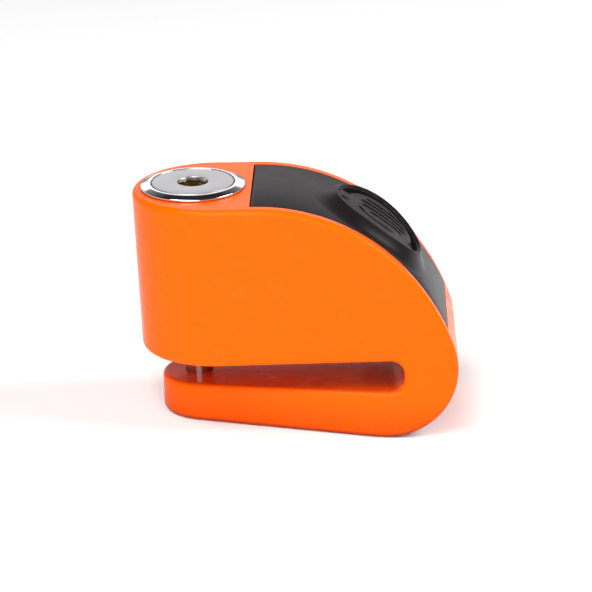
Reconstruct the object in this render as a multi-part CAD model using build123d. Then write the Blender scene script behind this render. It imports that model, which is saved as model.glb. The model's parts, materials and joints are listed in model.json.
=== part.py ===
"""Disc brake lock with a built-in alarm: a slotted casting, a push-down cylinder and an alarm module.

The lock is drawn about the cylinder's axis (x towards the alarm end, z up the axis, z = 0 on the top
face), then stood on its flat bottom: +Z up, +X towards the alarm end, origin under the middle of the box.
"""
import os
from math import asin, cos, degrees, radians, sin

from build123d import *

# ---- driving dimensions, millimetres and degrees ------------------------------------------------
WIDTH = 35.0                 # across the two flat sides
NOSE_X = 4.3                 # centre of the round nose, at the top face
NOSE_LEAN = 1.5              # the nose wall leans in towards the slot, degrees
CROWN_X = 13.95              # the top face turns into the crown here
CROWN = (42.36, 47.18)       # radius and turn of the crown
SHOULDER = (51.2, 24.19)     # radius and turn of the shoulder
HEEL_R = 15.45               # round heel, down to the bottom face
BOTTOM_TILT = 1.8            # the bottom face against the top face
EDGE_R = 1.2                 # soft edge round both flat sides
JAW_TIP = (1.6, 9.7)         # centre and radius of the lower jaw's round tip
JAW_TAPER = 11.4             # each side of the lower jaw leans in towards the tip, degrees
JAW_BLEND_R = 30.0           # the taper runs out into the flat side
SPLIT_Z = -36.0              # inside the slot: the nose's plan above it, the jaw's plan below it

SLOT_END = 45.1              # blind end of the disc slot
SLOT_ROOF = (-35.42, 0.9)    # height on the lock axis, slope towards the alarm end
SLOT_FLOOR = (-42.42, 0.9)
SLOT_END_R = 3.0
SLOT_EDGE_R = 1.0

BORE_R = 9.08                # cylinder bore
BORE_FLOOR = -31.5
BARREL_R = 9.0
BARREL_BOTTOM = -27.0
STROKE = 9.3                 # how far the cylinder pops up
PIN_R = 3.0
PIN_HOLE_R = 3.08
PIN_TIP = -44.6
JAW_HOLE_FLOOR = -46.0
PIN_HEAD_TOP = -21.9         # the pin's head end, inside the cylinder
PIN_DOWEL_Z = -24.6          # cross dowel that holds the pin
SEAL_Z = -14.1               # wiper ring, between the latch's two recesses
SEAL_GROOVE = (1.0, 0.8)     # depth and half height
DOWEL_Z = -11.5              # guide dowel
DOWEL_R = 1.45
DOWEL_HOLE_R = 1.5
DOWEL_SPAN = (7.7, 16.9)     # from the lock axis: nose in the cylinder's groove, tail in the casting
MAGNET_TURN = 38.0           # the arming magnet faces the alarm end, off the guide groove
MAGNET_Z = -8.0
BEZEL_R = 11.4
BEZEL_H = 1.1
BEZEL_FOOT = 0.55            # upright foot of the bezel, under its sloping flank
BEZEL_LIP = 1.6              # how far the flank runs in to the flat lip
BEZEL_EDGE_R = 0.2
SLEEVE_R = 10.3              # the bezel's sleeve in the counterbore
SLEEVE_L = 6.0
CAP_R = 8.85
CAP_T = 0.9
KEY_HOLE_R = 3.35            # opening in the face cap
GAP = 0.05                   # assembly gap between pieces that stay together
HAIR = 0.02                  # finer gap, where pieces nearly touch
FLANGE_SEAT = 0.03           # the bezel's flange stands this far over the top face

CORE_BORE_R = 6.5
CORE_R = 6.42
CAGE_R = 5.2                 # inside of the disc cage
DISC_R = 5.1
CORE_BOTTOM = -15.5
CAGE_WALL = 1.8
DISC_T = 1.2
SPACER_T = 0.5
DISC_COUNT = 7
CAM_R = 0.7                  # cam pin on the core's tail
CAM_OFFSET = 1.6
KEY_TURN = 90.0

LATCH = (4.8, 5.0)           # width and height of the latch bolt
LATCH_TOP = -16.2
LATCH_TIP = 8.6              # drawn in, just inside the cylinder's wall
LATCH_THROW = 2.2
LATCH_TAIL = -5.0
LATCH_ROOM = 0.3             # play round the bolt in the casting's recesses
LATCH_PLAY = 0.08            # play round the bolt in the cylinder

STRIP_HALF = 14.4            # half width of the black trim cover
STRIP_GAP = 0.25
STRIP_START = 12.95
STRIP_END_Z = -28.3
COVER_T = 1.6
GASKET_T = 0.4
GRILLE_ANGLE = 37.6          # where the sounder's axis leaves the crown, from the lock axis
GRILLE_R = 11.0
GRILLE_H = 2.1
GRILLE_CONE = (16.4, 10.4, 4.4, -1.5)    # the dome's flank: foot and crest radius, height, foot level
SOUNDER_BORE_R = 9.9
SLOT_W = 1.25                # width of a sound slot
GRILLE_SLOTS = ((-2.1, 8.4), (0.25, 11.2), (2.7, 11.8), (5.1, 9.6))    # place across, length
GRILLE_SHIFT = 0.6           # the slots sit a little towards the alarm end
MOAT = (8.2, 10.2)           # the moat round the grille's island
MOAT_DROP = 1.4              # its floor under the dome's top
MOAT_START = -3.4            # it leaves the near side of the dome whole

CAVITY = ((17, 6), (17, -30.5), (44, -30.5), (49, -20), (49, 6))
CAVITY_HALF = 13.0
TUB_GAP = 0.25
TUB_WALL = 1.35
CELL_R = 5.8
CELL_T = 5.4
CELL_COUNT = 4
CELL_AT = (25.2, -22.9)
BOARD = (32.2, 43.2, -26.4, 1.0)     # x from, x to, underside, thickness
BOARD_HALF = 10.9
SCREW_AT = ((37.0, -7.5), (37.0, 7.5))
SCREW_SEAT = -32.4
SCREW_R = 1.5
SCREW_HEAD = (2.75, 1.7)     # radius and height
SCREW_HOLE_R = 1.65
SCREW_HEAD_ROOM_R = 2.95
INSERT_R = 2.1
INSERT_BORE_R = 1.55
BOSS_R = 3.3
GASKET_SQUEEZE = 0.03
GASKET_INSET = 0.2

HALF = WIDTH / 2
# The cam pin swings from 45 degrees short of the latch's cross axis to 45 degrees past it.
CAM_Y = -CAM_OFFSET * sin(radians(KEY_TURN / 2))


# ---- small helpers ------------------------------------------------------------------------------
def slab(face, half):
    """A side-view face, thickened the same way to both sides of the middle plane."""
    return extrude(face, amount=half, both=True)


def side_face(*points):
    """Closed outline in the side view, from x, z points."""
    return make_face(Plane.XZ * Polyline(*points, close=True))


def column(radius, z_low, z_high, x=0.0, y=0.0):
    """Upright cylinder between two heights."""
    return Pos(x, y, z_low) * Cylinder(radius, z_high - z_low, align=(Align.CENTER, Align.CENTER, Align.MIN))


def tube(outer, inner, z_low, z_high):
    """Upright tube between two heights."""
    return column(outer, z_low, z_high) - column(inner, z_low - 1, z_high + 1)


def block(x0, x1, y0, y1, z0, z1):
    """Box between its low and high corners."""
    return Pos((x0 + x1) / 2, (y0 + y1) / 2, (z0 + z1) / 2) * Box(x1 - x0, abs(y1 - y0), z1 - z0)


def helix_spring(radius, wire, height, turns):
    """A coil spring standing on z = 0, with flat-lying wire centres inside its height."""
    rise = height - 2 * wire
    coil = Helix(pitch=rise / turns, height=rise, radius=radius)
    start = Plane(origin=coil @ 0, z_dir=coil % 0)
    return Pos(0, 0, wire) * sweep(start * Circle(wire), path=coil, is_frenet=True)


# ---- the casting's outline ----------------------------------------------------------------------
def outline_face(inset=0.0):
    """Side view: flat top, crown, shoulder, heel and bottom face. Its nose end is cut by the plan."""
    crown = JernArc(start=(CROWN_X, 0), tangent=(1, 0), radius=CROWN[0], arc_size=-CROWN[1])
    shoulder = JernArc(start=crown @ 1, tangent=crown % 1, radius=SHOULDER[0], arc_size=-SHOULDER[1])
    heel_turn = 180 + BOTTOM_TILT - CROWN[1] - SHOULDER[1]
    heel = JernArc(start=shoulder @ 1, tangent=shoulder % 1, radius=HEEL_R, arc_size=-heel_turn)
    reach = ((heel @ 1).X + 30) / cos(radians(BOTTOM_TILT))
    bottom_end = heel @ 1 + (heel % 1) * reach
    edges = [crown, shoulder, heel, Line(heel @ 1, bottom_end), Line(bottom_end, (bottom_end.X, 0))]
    edges.append(Line((bottom_end.X, 0), (CROWN_X, 0)))
    face = make_face(edges)
    if inset:
        face = offset(face, amount=-inset, kind=Kind.INTERSECTION)
    return Plane.XZ * face


def upper_plan():
    """Plan of the upper body: a half round nose on parallel flat sides, leaning in downwards."""
    plan = Pos(NOSE_X, 0) * Circle(HALF) + Pos(NOSE_X + 40, 0) * Rectangle(80, WIDTH)
    lean = Vector(sin(radians(NOSE_LEAN)), 0, -cos(radians(NOSE_LEAN)))
    start = plan.moved(Location(lean * -5))
    return extrude(start, amount=70, dir=lean)


def jaw_plan():
    """Plan of the lower jaw: a tongue with a round tip that widens to the full width."""
    centre, radius = JAW_TIP
    lean = radians(JAW_TAPER)
    touch = (centre - radius * sin(lean), radius * cos(lean))
    corner_x = touch[0] + (HALF - touch[1]) * cos(lean) / sin(lean)
    near = [(touch[0], -touch[1]), (corner_x, -HALF), (80, -HALF)]
    far = [(80, HALF), (corner_x, HALF), (touch[0], touch[1])]
    tongue = make_face(Polyline(*near, *far, close=True))
    corners = [v for v in tongue.vertices() if abs(v.X - corner_x) < 0.1]
    tongue = fillet(corners, JAW_BLEND_R) + Pos(centre, 0) * Circle(radius)
    return Pos(0, 0, -70) * extrude(tongue, amount=80)


def side_edges(solid):
    """Edges where the plan's walls meet the outline: not the upright seams, nor those across."""
    edges = []
    for edge in solid.edges():
        across = abs(edge.center().Y) < 0.1 and edge.center().X > NOSE_X
        if abs(edge.tangent_at(0.5).Z) < 0.99 and not across:
            edges.append(edge)
    return edges


def slot_line(level, x):
    """Height of the slot's roof or floor at x."""
    height, slope = level
    return height + x * sin(radians(slope)) / cos(radians(slope))


def slot_tool():
    """What the disc slot takes out: open at the nose, blind at the alarm end."""
    x_open = -30
    corners = [(x_open, slot_line(SLOT_ROOF, x_open)), (SLOT_END, slot_line(SLOT_ROOF, SLOT_END))]
    corners += [(SLOT_END, slot_line(SLOT_FLOOR, SLOT_END)), (x_open, slot_line(SLOT_FLOOR, x_open))]
    face = make_face(Polyline(*corners, close=True))
    inner = [v for v in face.vertices() if v.X > 0]
    return slab(Plane.XZ * fillet(inner, SLOT_END_R), HALF + 5)


def blank(plan):
    """One plan run through the outline, with the flat sides' edges softened."""
    solid = (plan & slab(outline_face(), HALF + 5)).solid()
    return fillet(side_edges(solid), EDGE_R)


def slot_rim(solid):
    """Edges of the slot's mouth, round the nose, along both sides and round the blind end."""
    rim = []
    for edge in solid.edges():
        c, t = edge.center(), edge.tangent_at(0.5)
        near_slot = slot_line(SLOT_FLOOR, c.X) - 0.3 < c.Z < slot_line(SLOT_ROOF, c.X) + 0.3
        across = abs(c.Y) < 0.1 and c.X > NOSE_X
        inside_end = SLOT_END - 5 < c.X < SLOT_END + 1
        if near_slot and not across and c.X < SLOT_END + 1 and (abs(t.Z) < 0.3 or inside_end):
            rim.append(edge)
    return rim


def strip_band(depth, half, start, end_z):
    """What lies within depth of the crown, between the strip's two cross cuts."""
    keep = side_face((start, 10), (80, 10), (80, end_z), (start, end_z))
    return slab(outline_face() - outline_face(depth), half) & slab(keep, half)


def cavity_face(inset):
    """Side view of the alarm module's room, or of the same room inset."""
    face = make_face(Polyline(*CAVITY, close=True))
    return Plane.XZ * (offset(face, amount=-inset, kind=Kind.INTERSECTION) if inset else face)


def grille_frame():
    """Frame on the crown's surface, z out along the sounder's axis."""
    turn = radians(GRILLE_ANGLE)
    origin = (CROWN_X + CROWN[0] * sin(turn), 0, CROWN[0] * (cos(turn) - 1))
    return Plane(origin=origin, x_dir=(cos(turn), 0, -sin(turn)), z_dir=(sin(turn), 0, cos(turn)))


# ---- root: casting and what is fixed in it -------------------------------------------------------
def body_casting():
    """Zinc casting: upper body and tongue-shaped lower jaw round the slot, bore and module room."""
    split = slab(side_face((-40, 20), (80, 20), (80, SPLIT_Z), (-40, SPLIT_Z)), HALF + 10)
    upper = blank(upper_plan()) & split
    lower = blank(jaw_plan()) - split
    casting = ((upper + lower).solid() - slot_tool()).solid()
    casting = casting.fillet(SLOT_EDGE_R, slot_rim(casting))
    casting -= column(BORE_R, BORE_FLOOR, 5)
    casting -= column(SLEEVE_R + GAP, -SLEEVE_L - GAP, 5)
    depth, reach = SEAL_GROOVE
    casting -= tube(BORE_R + depth, BORE_R - 1, SEAL_Z - reach, SEAL_Z + reach)
    casting -= column(PIN_HOLE_R, JAW_HOLE_FLOOR, BORE_FLOOR + 1)
    casting -= strip_band(COVER_T + GASKET_T, STRIP_HALF + STRIP_GAP, STRIP_START - STRIP_GAP,
                          STRIP_END_Z - STRIP_GAP)
    casting -= slab(cavity_face(0), CAVITY_HALF)
    half = LATCH[0] / 2 + LATCH_ROOM
    recess = block(-half, half, 5, LATCH_TIP + LATCH_THROW + 0.5,
                   LATCH_TOP - LATCH[1] - LATCH_ROOM, LATCH_TOP + LATCH_ROOM)
    casting -= recess + Pos(0, 0, STROKE) * recess
    casting -= Pos(0, 0, DOWEL_Z) * Rot(0, 90, 0) * column(DOWEL_HOLE_R, 5, 18)
    for x, y in SCREW_AT:
        shank = column(SCREW_HOLE_R, SPLIT_Z, -29, x, y)
        casting -= shank + column(SCREW_HEAD_ROOM_R, SPLIT_Z, SCREW_SEAT, x, y)
    return casting.solid()


def bezel_ring():
    """Pressed chrome ring: a sloping flange round the cylinder and a sleeve in the counterbore."""
    section = make_face(Plane.XZ * Polyline(
        (BORE_R + HAIR, -SLEEVE_L), (SLEEVE_R, -SLEEVE_L), (SLEEVE_R, FLANGE_SEAT), (BEZEL_R, FLANGE_SEAT),
        (BEZEL_R, BEZEL_FOOT), (BEZEL_R - BEZEL_LIP, BEZEL_H), (BORE_R + HAIR, BEZEL_H), close=True))
    ring = revolve(section, Axis.Z)
    rounds = ring.edges().filter_by(GeomType.CIRCLE)
    crest = [e for e in rounds if e.center().Z > BEZEL_FOOT - 0.01 and e.radius > BORE_R + 0.5]
    return fillet(crest, BEZEL_EDGE_R)


def bore_seal():
    """Rubber ring in its groove, clear of the cylinder by a hair so that it wipes without binding."""
    section = Plane.XZ * Pos(BORE_R + 0.55, SEAL_Z) * Circle(0.4)
    return revolve(section, Axis.Z)


def guide_dowel():
    """Steel dowel whose nose runs in the cylinder's long groove: it stops the turn and the stroke."""
    return chamfer((Pos(0, 0, DOWEL_Z) * Rot(0, 90, 0) * column(DOWEL_R, *DOWEL_SPAN)).edges(), 0.25)


def trim_cover():
    """Black cover on the crown, with the sounder's raised dome, its slots and its moat."""
    plane = grille_frame()
    cover = strip_band(COVER_T, STRIP_HALF, STRIP_START, STRIP_END_Z).solid()
    raised = slab(offset_outline(GRILLE_H), HALF) & plane * column(GRILLE_R, -4, 8)
    foot_r, crest_r, height, foot_z = GRILLE_CONE
    flank = plane * Pos(0, 0, foot_z) * Cone(foot_r, crest_r, height,
                                             align=(Align.CENTER, Align.CENTER, Align.MIN))
    flank &= slab(offset_outline(GRILLE_H - 0.3), STRIP_HALF)
    inner = outline_face(COVER_T)
    cover = (cover + raised + flank) - slab(inner, HALF)
    cover -= plane * column(SOUNDER_BORE_R, -6, -0.4)
    for y, length in GRILLE_SLOTS:
        cover -= extrude(plane * Pos(GRILLE_SHIFT, y, 0) * SlotOverall(length, SLOT_W), amount=5, both=True)
    floor = slab(offset_outline(GRILLE_H - MOAT_DROP), HALF)
    moat = tube(MOAT[1], MOAT[0], -4, 9) - block(-12, 12, -12, MOAT_START, -5, 10)
    return (cover - (plane * moat - floor)).solid()


def offset_outline(grow):
    """The side view grown outwards by grow, for what stands on the crown."""
    return outline_face(-grow)


def cover_gasket():
    """Thin rubber frame between the trim cover and the casting's ledge."""
    band = strip_band(COVER_T + GASKET_T - GASKET_SQUEEZE, STRIP_HALF - GASKET_INSET,
                      STRIP_START + GASKET_INSET, STRIP_END_Z + GASKET_INSET)
    band -= slab(outline_face(-5) - outline_face(COVER_T + GASKET_SQUEEZE), HALF)
    return (band - slab(cavity_face(-0.3), CAVITY_HALF + 0.3)).solid()


def module_tub():
    """Open tub that fills the casting's cavity and carries the alarm's inside."""
    lid = slab(outline_face(COVER_T + GASKET_T + 0.1), HALF)
    room = slab(cavity_face(TUB_GAP + TUB_WALL), CAVITY_HALF - TUB_GAP - TUB_WALL)
    shell = slab(cavity_face(TUB_GAP), CAVITY_HALF - TUB_GAP) & lid
    shell -= room
    shell -= Pos(0, 0, 8) * room
    for x, y in SCREW_AT:
        shell += column(BOSS_R, -29.5, BOARD[2] - GAP, x, y)
        shell -= column(INSERT_R + GAP, -31, BOARD[2] + 1, x, y)
    cradle = block(31.3, 31.9, -10.9, 10.9, -29.2, -20.5)
    shell -= grille_frame() * column(SOUNDER_BORE_R, -7, 3)
    return (shell + cradle).solid()


def sounder_ring():
    """Ring that clamps the membrane and carries the piezo disc."""
    plane = grille_frame()
    ring = tube(9.6, 8.2, -6.2, -0.8) + tube(8.8, 7.4, -3.9, -3.2)
    return plane * ring


def sounder_membrane():
    """Thin sealing membrane under the grille."""
    return grille_frame() * column(9.6, -0.75, -0.45)


def piezo_disc():
    """Brass disc with its smaller ceramic layer."""
    return grille_frame() * (column(8.1, -3.15, -2.95) + column(6.0, -2.95, -2.7))


def piezo_leads():
    """Two thin insulated wires from the piezo disc down to the board."""
    leads = []
    for y in (-2.5, 2.5):
        top = (34.6, y, -13.3)
        route = FilletPolyline(top, (34.6, y, -19.5), (36.8, y, -22.0), (36.8, y, -25.3), radius=1.8)
        section = Plane(origin=route @ 0, z_dir=route % 0) * Circle(0.45)
        leads.append(sweep(section, path=route))
    return leads


def circuit_board():
    """Main board on the tub's two bosses."""
    x0, x1, z, t = BOARD
    board = block(x0, x1, -BOARD_HALF, BOARD_HALF, z, z + t)
    for x, y in SCREW_AT:
        board -= column(1.0, z - 1, z + t + 1, x, y)
    return board


def controller_chip():
    """Moulded chip on the main board."""
    top = BOARD[2] + BOARD[3]
    return block(38.6, 42.6, -3.4, 1.6, top + GAP, top + 1.5)


def board_capacitors():
    """Two upright capacitors on the main board."""
    top = BOARD[2] + BOARD[3] + GAP
    return [column(1.9, top, top + 3.4, 34.6, 8.4), column(1.9, top, top + 3.4, 34.6, -8.4)]


def vibration_sensor():
    """Small sealed can with a rolling ball, lying across the board."""
    top = BOARD[2] + BOARD[3] + GAP
    return Pos(41.2, 7.2, top + 1.6) * Rot(90, 0, 0) * column(1.6, -3.2, 3.2)


def switch_board():
    """Small upright board beside the bore, for the reed switch."""
    return block(19.2, 20.2, -10.9, 10.9, -15.9, -4.6)


def reed_switch():
    """Glass switch that the cylinder's magnet works."""
    glass = column(1.05, -14.6, -6.4, 21.4, 5.0)
    feet = block(20.25, 21.4, 4.8, 5.2, -6.4, -6.0) + block(20.25, 21.4, 4.8, 5.2, -15.0, -14.6)
    legs = column(0.2, -15.0, -14.5, 21.4, 5.0) + column(0.2, -6.5, -6.0, 21.4, 5.0)
    return (glass + feet + legs).solid()


def button_cells():
    """Four button cells in one stack across the tub, each with its narrower lid."""
    cells = []
    for i in range(CELL_COUNT):
        y = (i - CELL_COUNT / 2) * CELL_T
        can = column(CELL_R, 0.02, CELL_T - 0.72) + column(CELL_R - 0.8, CELL_T - 0.72, CELL_T - 0.02)
        cells.append(Pos(CELL_AT[0], y, CELL_AT[1]) * Rot(-90, 0, 0) * can)
    return cells


def contact_plate(y, sense):
    """Bent sheet contact at one end of the stack, with a solder tab up the tub's wall."""
    x, z = CELL_AT
    plate = block(x - 3.5, x + 3.5, y, y + sense * 0.3, z - 3.5, z + 3.5)
    return plate + block(x - 1.2, x + 1.2, y, y + sense * 0.3, z + 3.0, z + 9.0)


def tub_inserts():
    """Threaded inserts in the tub's two bosses."""
    inserts = []
    for x, y in SCREW_AT:
        bore = column(INSERT_BORE_R, -31, BOARD[2], x, y)
        inserts.append(column(INSERT_R, -30.2, BOARD[2] - 0.4, x, y) - bore)
    return inserts


def module_screws():
    """Socket screws up through the slot's roof: they hold the alarm module in the casting."""
    screws = []
    for x, y in SCREW_AT:
        head = column(SCREW_HEAD[0], SCREW_SEAT - SCREW_HEAD[1], SCREW_SEAT - HAIR, x, y)
        socket = Pos(x, y, SCREW_SEAT - 1.8) * extrude(RegularPolygon(1.25, 6), amount=1.2)
        screws.append(head + column(SCREW_R, SCREW_SEAT - 0.1, -27.3, x, y) - socket)
    return screws


# ---- the cylinder: slides up the lock axis -------------------------------------------------------
def lock_barrel():
    """The sliding cylinder, with room for the core, the bolt, the pin and the magnet."""
    barrel = column(BARREL_R, BARREL_BOTTOM, BEZEL_H - CAP_T - GAP)
    barrel = chamfer([e for e in barrel.edges() if e.center().Z < 0], 0.4)
    barrel -= column(CORE_BORE_R, CORE_BOTTOM - 0.3, 5)
    half = LATCH[0] / 2 + LATCH_PLAY
    room = block(-half, half, -7.6, 12, LATCH_TOP - LATCH[1] - LATCH_PLAY, LATCH_TOP + LATCH_PLAY)
    barrel -= room + column(2.6, LATCH_TOP - 1, CORE_BOTTOM)
    barrel -= column(PIN_R + GAP, BARREL_BOTTOM - 1, PIN_HEAD_TOP + GAP)
    barrel -= Pos(0, 0, PIN_DOWEL_Z) * Rot(90, 0, 0) * column(1.0 + GAP / 2, -8.6, 8.6)
    groove_top, groove_low = DOWEL_Z + 1.75, DOWEL_Z - STROKE - 1.75
    barrel -= block(7.5, 12, -1.6, 1.6, groove_low, groove_top)
    barrel -= magnet_frame() * column(1.55, 7.3, 10)
    groove = Pos(0, -CORE_BORE_R, 0) * block(-0.9, 0.9, -0.9, 0.9, -14, -2)
    return (barrel - groove).solid()


def magnet_frame():
    """Frame at the magnet, z outwards from the lock axis."""
    turn = radians(MAGNET_TURN)
    outward = (cos(turn), sin(turn), 0)
    return Plane(origin=(0, 0, MAGNET_Z), x_dir=(0, 0, 1), z_dir=outward)


def arming_magnet():
    """Small magnet let into the cylinder's side."""
    return magnet_frame() * column(1.5, 7.35, 8.75)


def face_cap():
    """Satin steel disc on the cylinder's face, with the notched key opening."""
    z = BEZEL_H - CAP_T
    cap = column(CAP_R, z, BEZEL_H)
    cap = chamfer([e for e in cap.edges() if e.center().Z > z + 0.1], 0.25)
    cap -= column(KEY_HOLE_R - 0.5, z - 1, BEZEL_H + 1)
    for turn in (0, 90, 180, 270):
        cap -= Rot(0, 0, turn) * block(0, KEY_HOLE_R, -1.1, 1.1, z - 1, BEZEL_H + 1)
    return cap


def locking_pin():
    """Hardened pin that crosses the slot into the jaw's hole."""
    pin = column(PIN_R, PIN_TIP, PIN_HEAD_TOP)
    pin = chamfer([e for e in pin.edges() if e.center().Z < -30], 0.8)
    return pin - Pos(0, 0, PIN_DOWEL_Z) * Rot(90, 0, 0) * column(1.0 + GAP / 2, -5, 5)


def pin_dowel():
    """Cross dowel through the cylinder and the pin."""
    return Pos(0, 0, PIN_DOWEL_Z) * Rot(90, 0, 0) * column(1.0, -8.4, 8.4)


def return_spring():
    """Coil spring that lifts the cylinder when the latch lets go."""
    return Pos(0, 0, BORE_FLOOR + 0.05) * helix_spring(6.2, 0.55, -BORE_FLOOR + BARREL_BOTTOM - 0.1, 2.5)


def latch_spring():
    """Fine coil spring behind the latch bolt."""
    spring = helix_spring(0.85, 0.16, 8.3, 9)
    return Pos(0, -7.5, LATCH_TOP - 3.7) * Rot(-90, 0, 0) * spring


def latch_bolt():
    """Spring bolt across the cylinder. The core's cam pin drives it through the slot in its top."""
    width, height = LATCH
    bolt = block(-width / 2, width / 2, LATCH_TAIL, LATCH_TIP, LATCH_TOP - height, LATCH_TOP)
    bolt = fillet(bolt.edges().filter_by(Axis.Y), 0.5)
    bolt -= block(-width, width, CAM_Y - CAM_R - 0.15, CAM_Y + CAM_R + 0.15, LATCH_TOP - 2.2, LATCH_TOP + 1)
    return bolt - Pos(0, 0, LATCH_TOP - 3.7) * Rot(-90, 0, 0) * column(1.15, -8, 0.9)


# ---- the core: turns in the cylinder -------------------------------------------------------------
def key_core():
    """Disc cage: a tube with a floor, a slot for the sidebar and a cam pin on its tail."""
    core = column(CORE_R, CORE_BOTTOM, 0.0) - column(CAGE_R, CORE_BOTTOM + CAGE_WALL, 5)
    core -= block(-0.85, 0.85, -8, -CAGE_R + 1.5, -13.4, -2.3)
    turn = radians(-KEY_TURN / 2)
    cam = column(CAM_R, LATCH_TOP - 2.0, CORE_BOTTOM + 0.5, CAM_OFFSET * cos(turn), CAM_OFFSET * sin(turn))
    return (core + cam).solid()


def key_way(z_low, z_high):
    """D-shaped way for the key, with a tooth gap at the far side."""
    way = column(2.3, z_low, z_high) & block(-2.3, 2.3, -1.6, 3, z_low, z_high)
    return way + block(-1.0, 1.0, 0, 3.1, z_low, z_high)


def front_plate():
    """Fixed plate with the key way, in front of the discs."""
    plate = column(DISC_R, -1.9, -0.1)
    return plate - key_way(-2.5, 1)


def detainer_discs():
    """The stack of turning discs, each with its sidebar notch."""
    discs = []
    for i in range(DISC_COUNT):
        z = CORE_BOTTOM + CAGE_WALL + GAP + i * (DISC_T + SPACER_T)
        disc = column(DISC_R, z, z + DISC_T) - key_way(z - 1, z + 3)
        discs.append(disc - block(-0.95, 0.95, -6, -4.2, z - 1, z + 3))
    return discs


def disc_spacers():
    """Thin washers between the discs."""
    spacers = []
    for i in range(DISC_COUNT - 1):
        z = CORE_BOTTOM + CAGE_WALL + GAP + DISC_T + i * (DISC_T + SPACER_T)
        ring = column(DISC_R, z + 0.01, z + SPACER_T - 0.01) - column(3.3, z - 1, z + 2)
        spacers.append(ring - block(-0.95, 0.95, -6, -4.2, z - 1, z + 2))
    return spacers


def sidebar():
    """Bar along the cage that drops into the discs' notches."""
    return block(-0.75, 0.75, -CORE_R + 0.12, -4.4, -13.3, -2.4)


# ---- placing and writing -------------------------------------------------------------------------
def nodes():
    """Every piece by its node name, drawn about the lock axis."""
    end = CELL_COUNT * CELL_T / 2
    return {
        "body_casting": body_casting(),
        "bezel_ring": bezel_ring(),
        "bore_seal": bore_seal(),
        "guide_dowel": guide_dowel(),
        "trim_cover": trim_cover(),
        "cover_gasket": cover_gasket(),
        "module_tub": module_tub(),
        "sounder_ring": sounder_ring(),
        "sounder_membrane": sounder_membrane(),
        "piezo_disc": piezo_disc(),
        "piezo_leads": piezo_leads(),
        "circuit_board": circuit_board(),
        "controller_chip": controller_chip(),
        "board_capacitors": board_capacitors(),
        "vibration_sensor": vibration_sensor(),
        "switch_board": switch_board(),
        "reed_switch": reed_switch(),
        "button_cells": button_cells(),
        "positive_contact": contact_plate(end + 0.05, 1),
        "negative_contact": contact_plate(-end - 0.05, -1),
        "tub_inserts": tub_inserts(),
        "module_screws": module_screws(),
        "lock_barrel": lock_barrel(),
        "face_cap": face_cap(),
        "locking_pin": locking_pin(),
        "pin_dowel": pin_dowel(),
        "arming_magnet": arming_magnet(),
        "return_spring": return_spring(),
        "latch_spring": latch_spring(),
        "latch_bolt": latch_bolt(),
        "key_core": key_core(),
        "front_plate": front_plate(),
        "detainer_discs": detainer_discs(),
        "disc_spacers": disc_spacers(),
        "sidebar": sidebar(),
    }


def main():
    """Stand the lock on its bottom face and write one file for each piece."""
    os.makedirs("parts", exist_ok=True)
    shapes = nodes()
    upright = Rot(0, -BOTTOM_TILT, 0)
    box = (upright * shapes["body_casting"]).bounding_box()
    top = (upright * shapes["bezel_ring"]).bounding_box().max.Z
    place = Pos(-box.center().X, 0, -box.min.Z) * upright
    print("placement", -box.center().X, -box.min.Z, "top", top - box.min.Z, "size", box.size)
    for name, shape in shapes.items():
        solids = shape if isinstance(shape, list) else [shape]
        moved = [place * s for s in solids]
        whole = moved[0] if len(moved) == 1 else Compound(children=moved)
        whole.label = name
        export_step(whole, f"parts/{name}.step")


if __name__ == "__main__":
    main()
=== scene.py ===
"""Looks for the disc brake lock: the frame's own parts get their finishes, and the black trim strip,
the sounder's dome, the chrome bezel and the turned cap are modelled afresh round the frame."""
import json
from math import cos, pi, radians, sin

import bmesh
import bpy
from mathutils import Matrix, Vector


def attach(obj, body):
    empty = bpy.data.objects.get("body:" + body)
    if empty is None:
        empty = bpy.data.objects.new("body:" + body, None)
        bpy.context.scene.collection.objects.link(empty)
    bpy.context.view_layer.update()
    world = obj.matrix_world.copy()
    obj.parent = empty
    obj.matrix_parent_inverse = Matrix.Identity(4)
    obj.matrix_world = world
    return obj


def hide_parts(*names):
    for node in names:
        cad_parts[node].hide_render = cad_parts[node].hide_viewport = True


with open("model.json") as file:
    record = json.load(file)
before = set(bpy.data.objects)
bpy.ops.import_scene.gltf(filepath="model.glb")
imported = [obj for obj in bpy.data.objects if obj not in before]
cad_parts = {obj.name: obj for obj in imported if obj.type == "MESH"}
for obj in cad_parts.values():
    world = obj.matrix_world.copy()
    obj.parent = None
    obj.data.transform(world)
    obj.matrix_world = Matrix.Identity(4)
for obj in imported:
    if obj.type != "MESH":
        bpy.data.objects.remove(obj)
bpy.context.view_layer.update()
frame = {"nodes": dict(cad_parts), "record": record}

bl_info = {
    "name": "Disc brake lock looks",
    "version": (1, 0, 0),
    "blender": (4, 5, 0),
    "location": "3D View > Sidebar > Disc lock",
    "description": "Finishes and detailed outer pieces for a motorcycle brake disc lock",
    "category": "Object",
}

MM = 0.001

# The lock's own axes inside the frame: the axis of the cylinder leans a little, and its origin is on the
# casting's flat top. Along the top x runs to the alarm end, z up the cylinder.
TILT = radians(1.8)
AXIS_TOP = (-22.404, 51.081)
CROWN_X = 13.95
CROWN_R = 42.36
CROWN_TURN = radians(47.18)
SHOULDER_R = 51.2
STRIP_END_Z = -28.3
DOME_TURN = radians(37.6)

# The grille, from the dome's middle, in millimetres and degrees.
GRILLE_BORE_R = 9.6
MOAT = (8.15, 10.25, -32, 162)       # inner and outer radius, first and last turn
GROOVE = (5.6, 6.5, 202, 296)
GROOVE_FLOOR = 0.7
SOUND_SLOTS = ((-2.1, -3.0, 5.4), (0.25, -4.9, 6.3), (2.7, -5.2, 6.6), (5.1, -4.0, 5.6))    # across, ends
SLICE = 0.9                          # step between the cross cuts of what is bent over the crown

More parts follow.
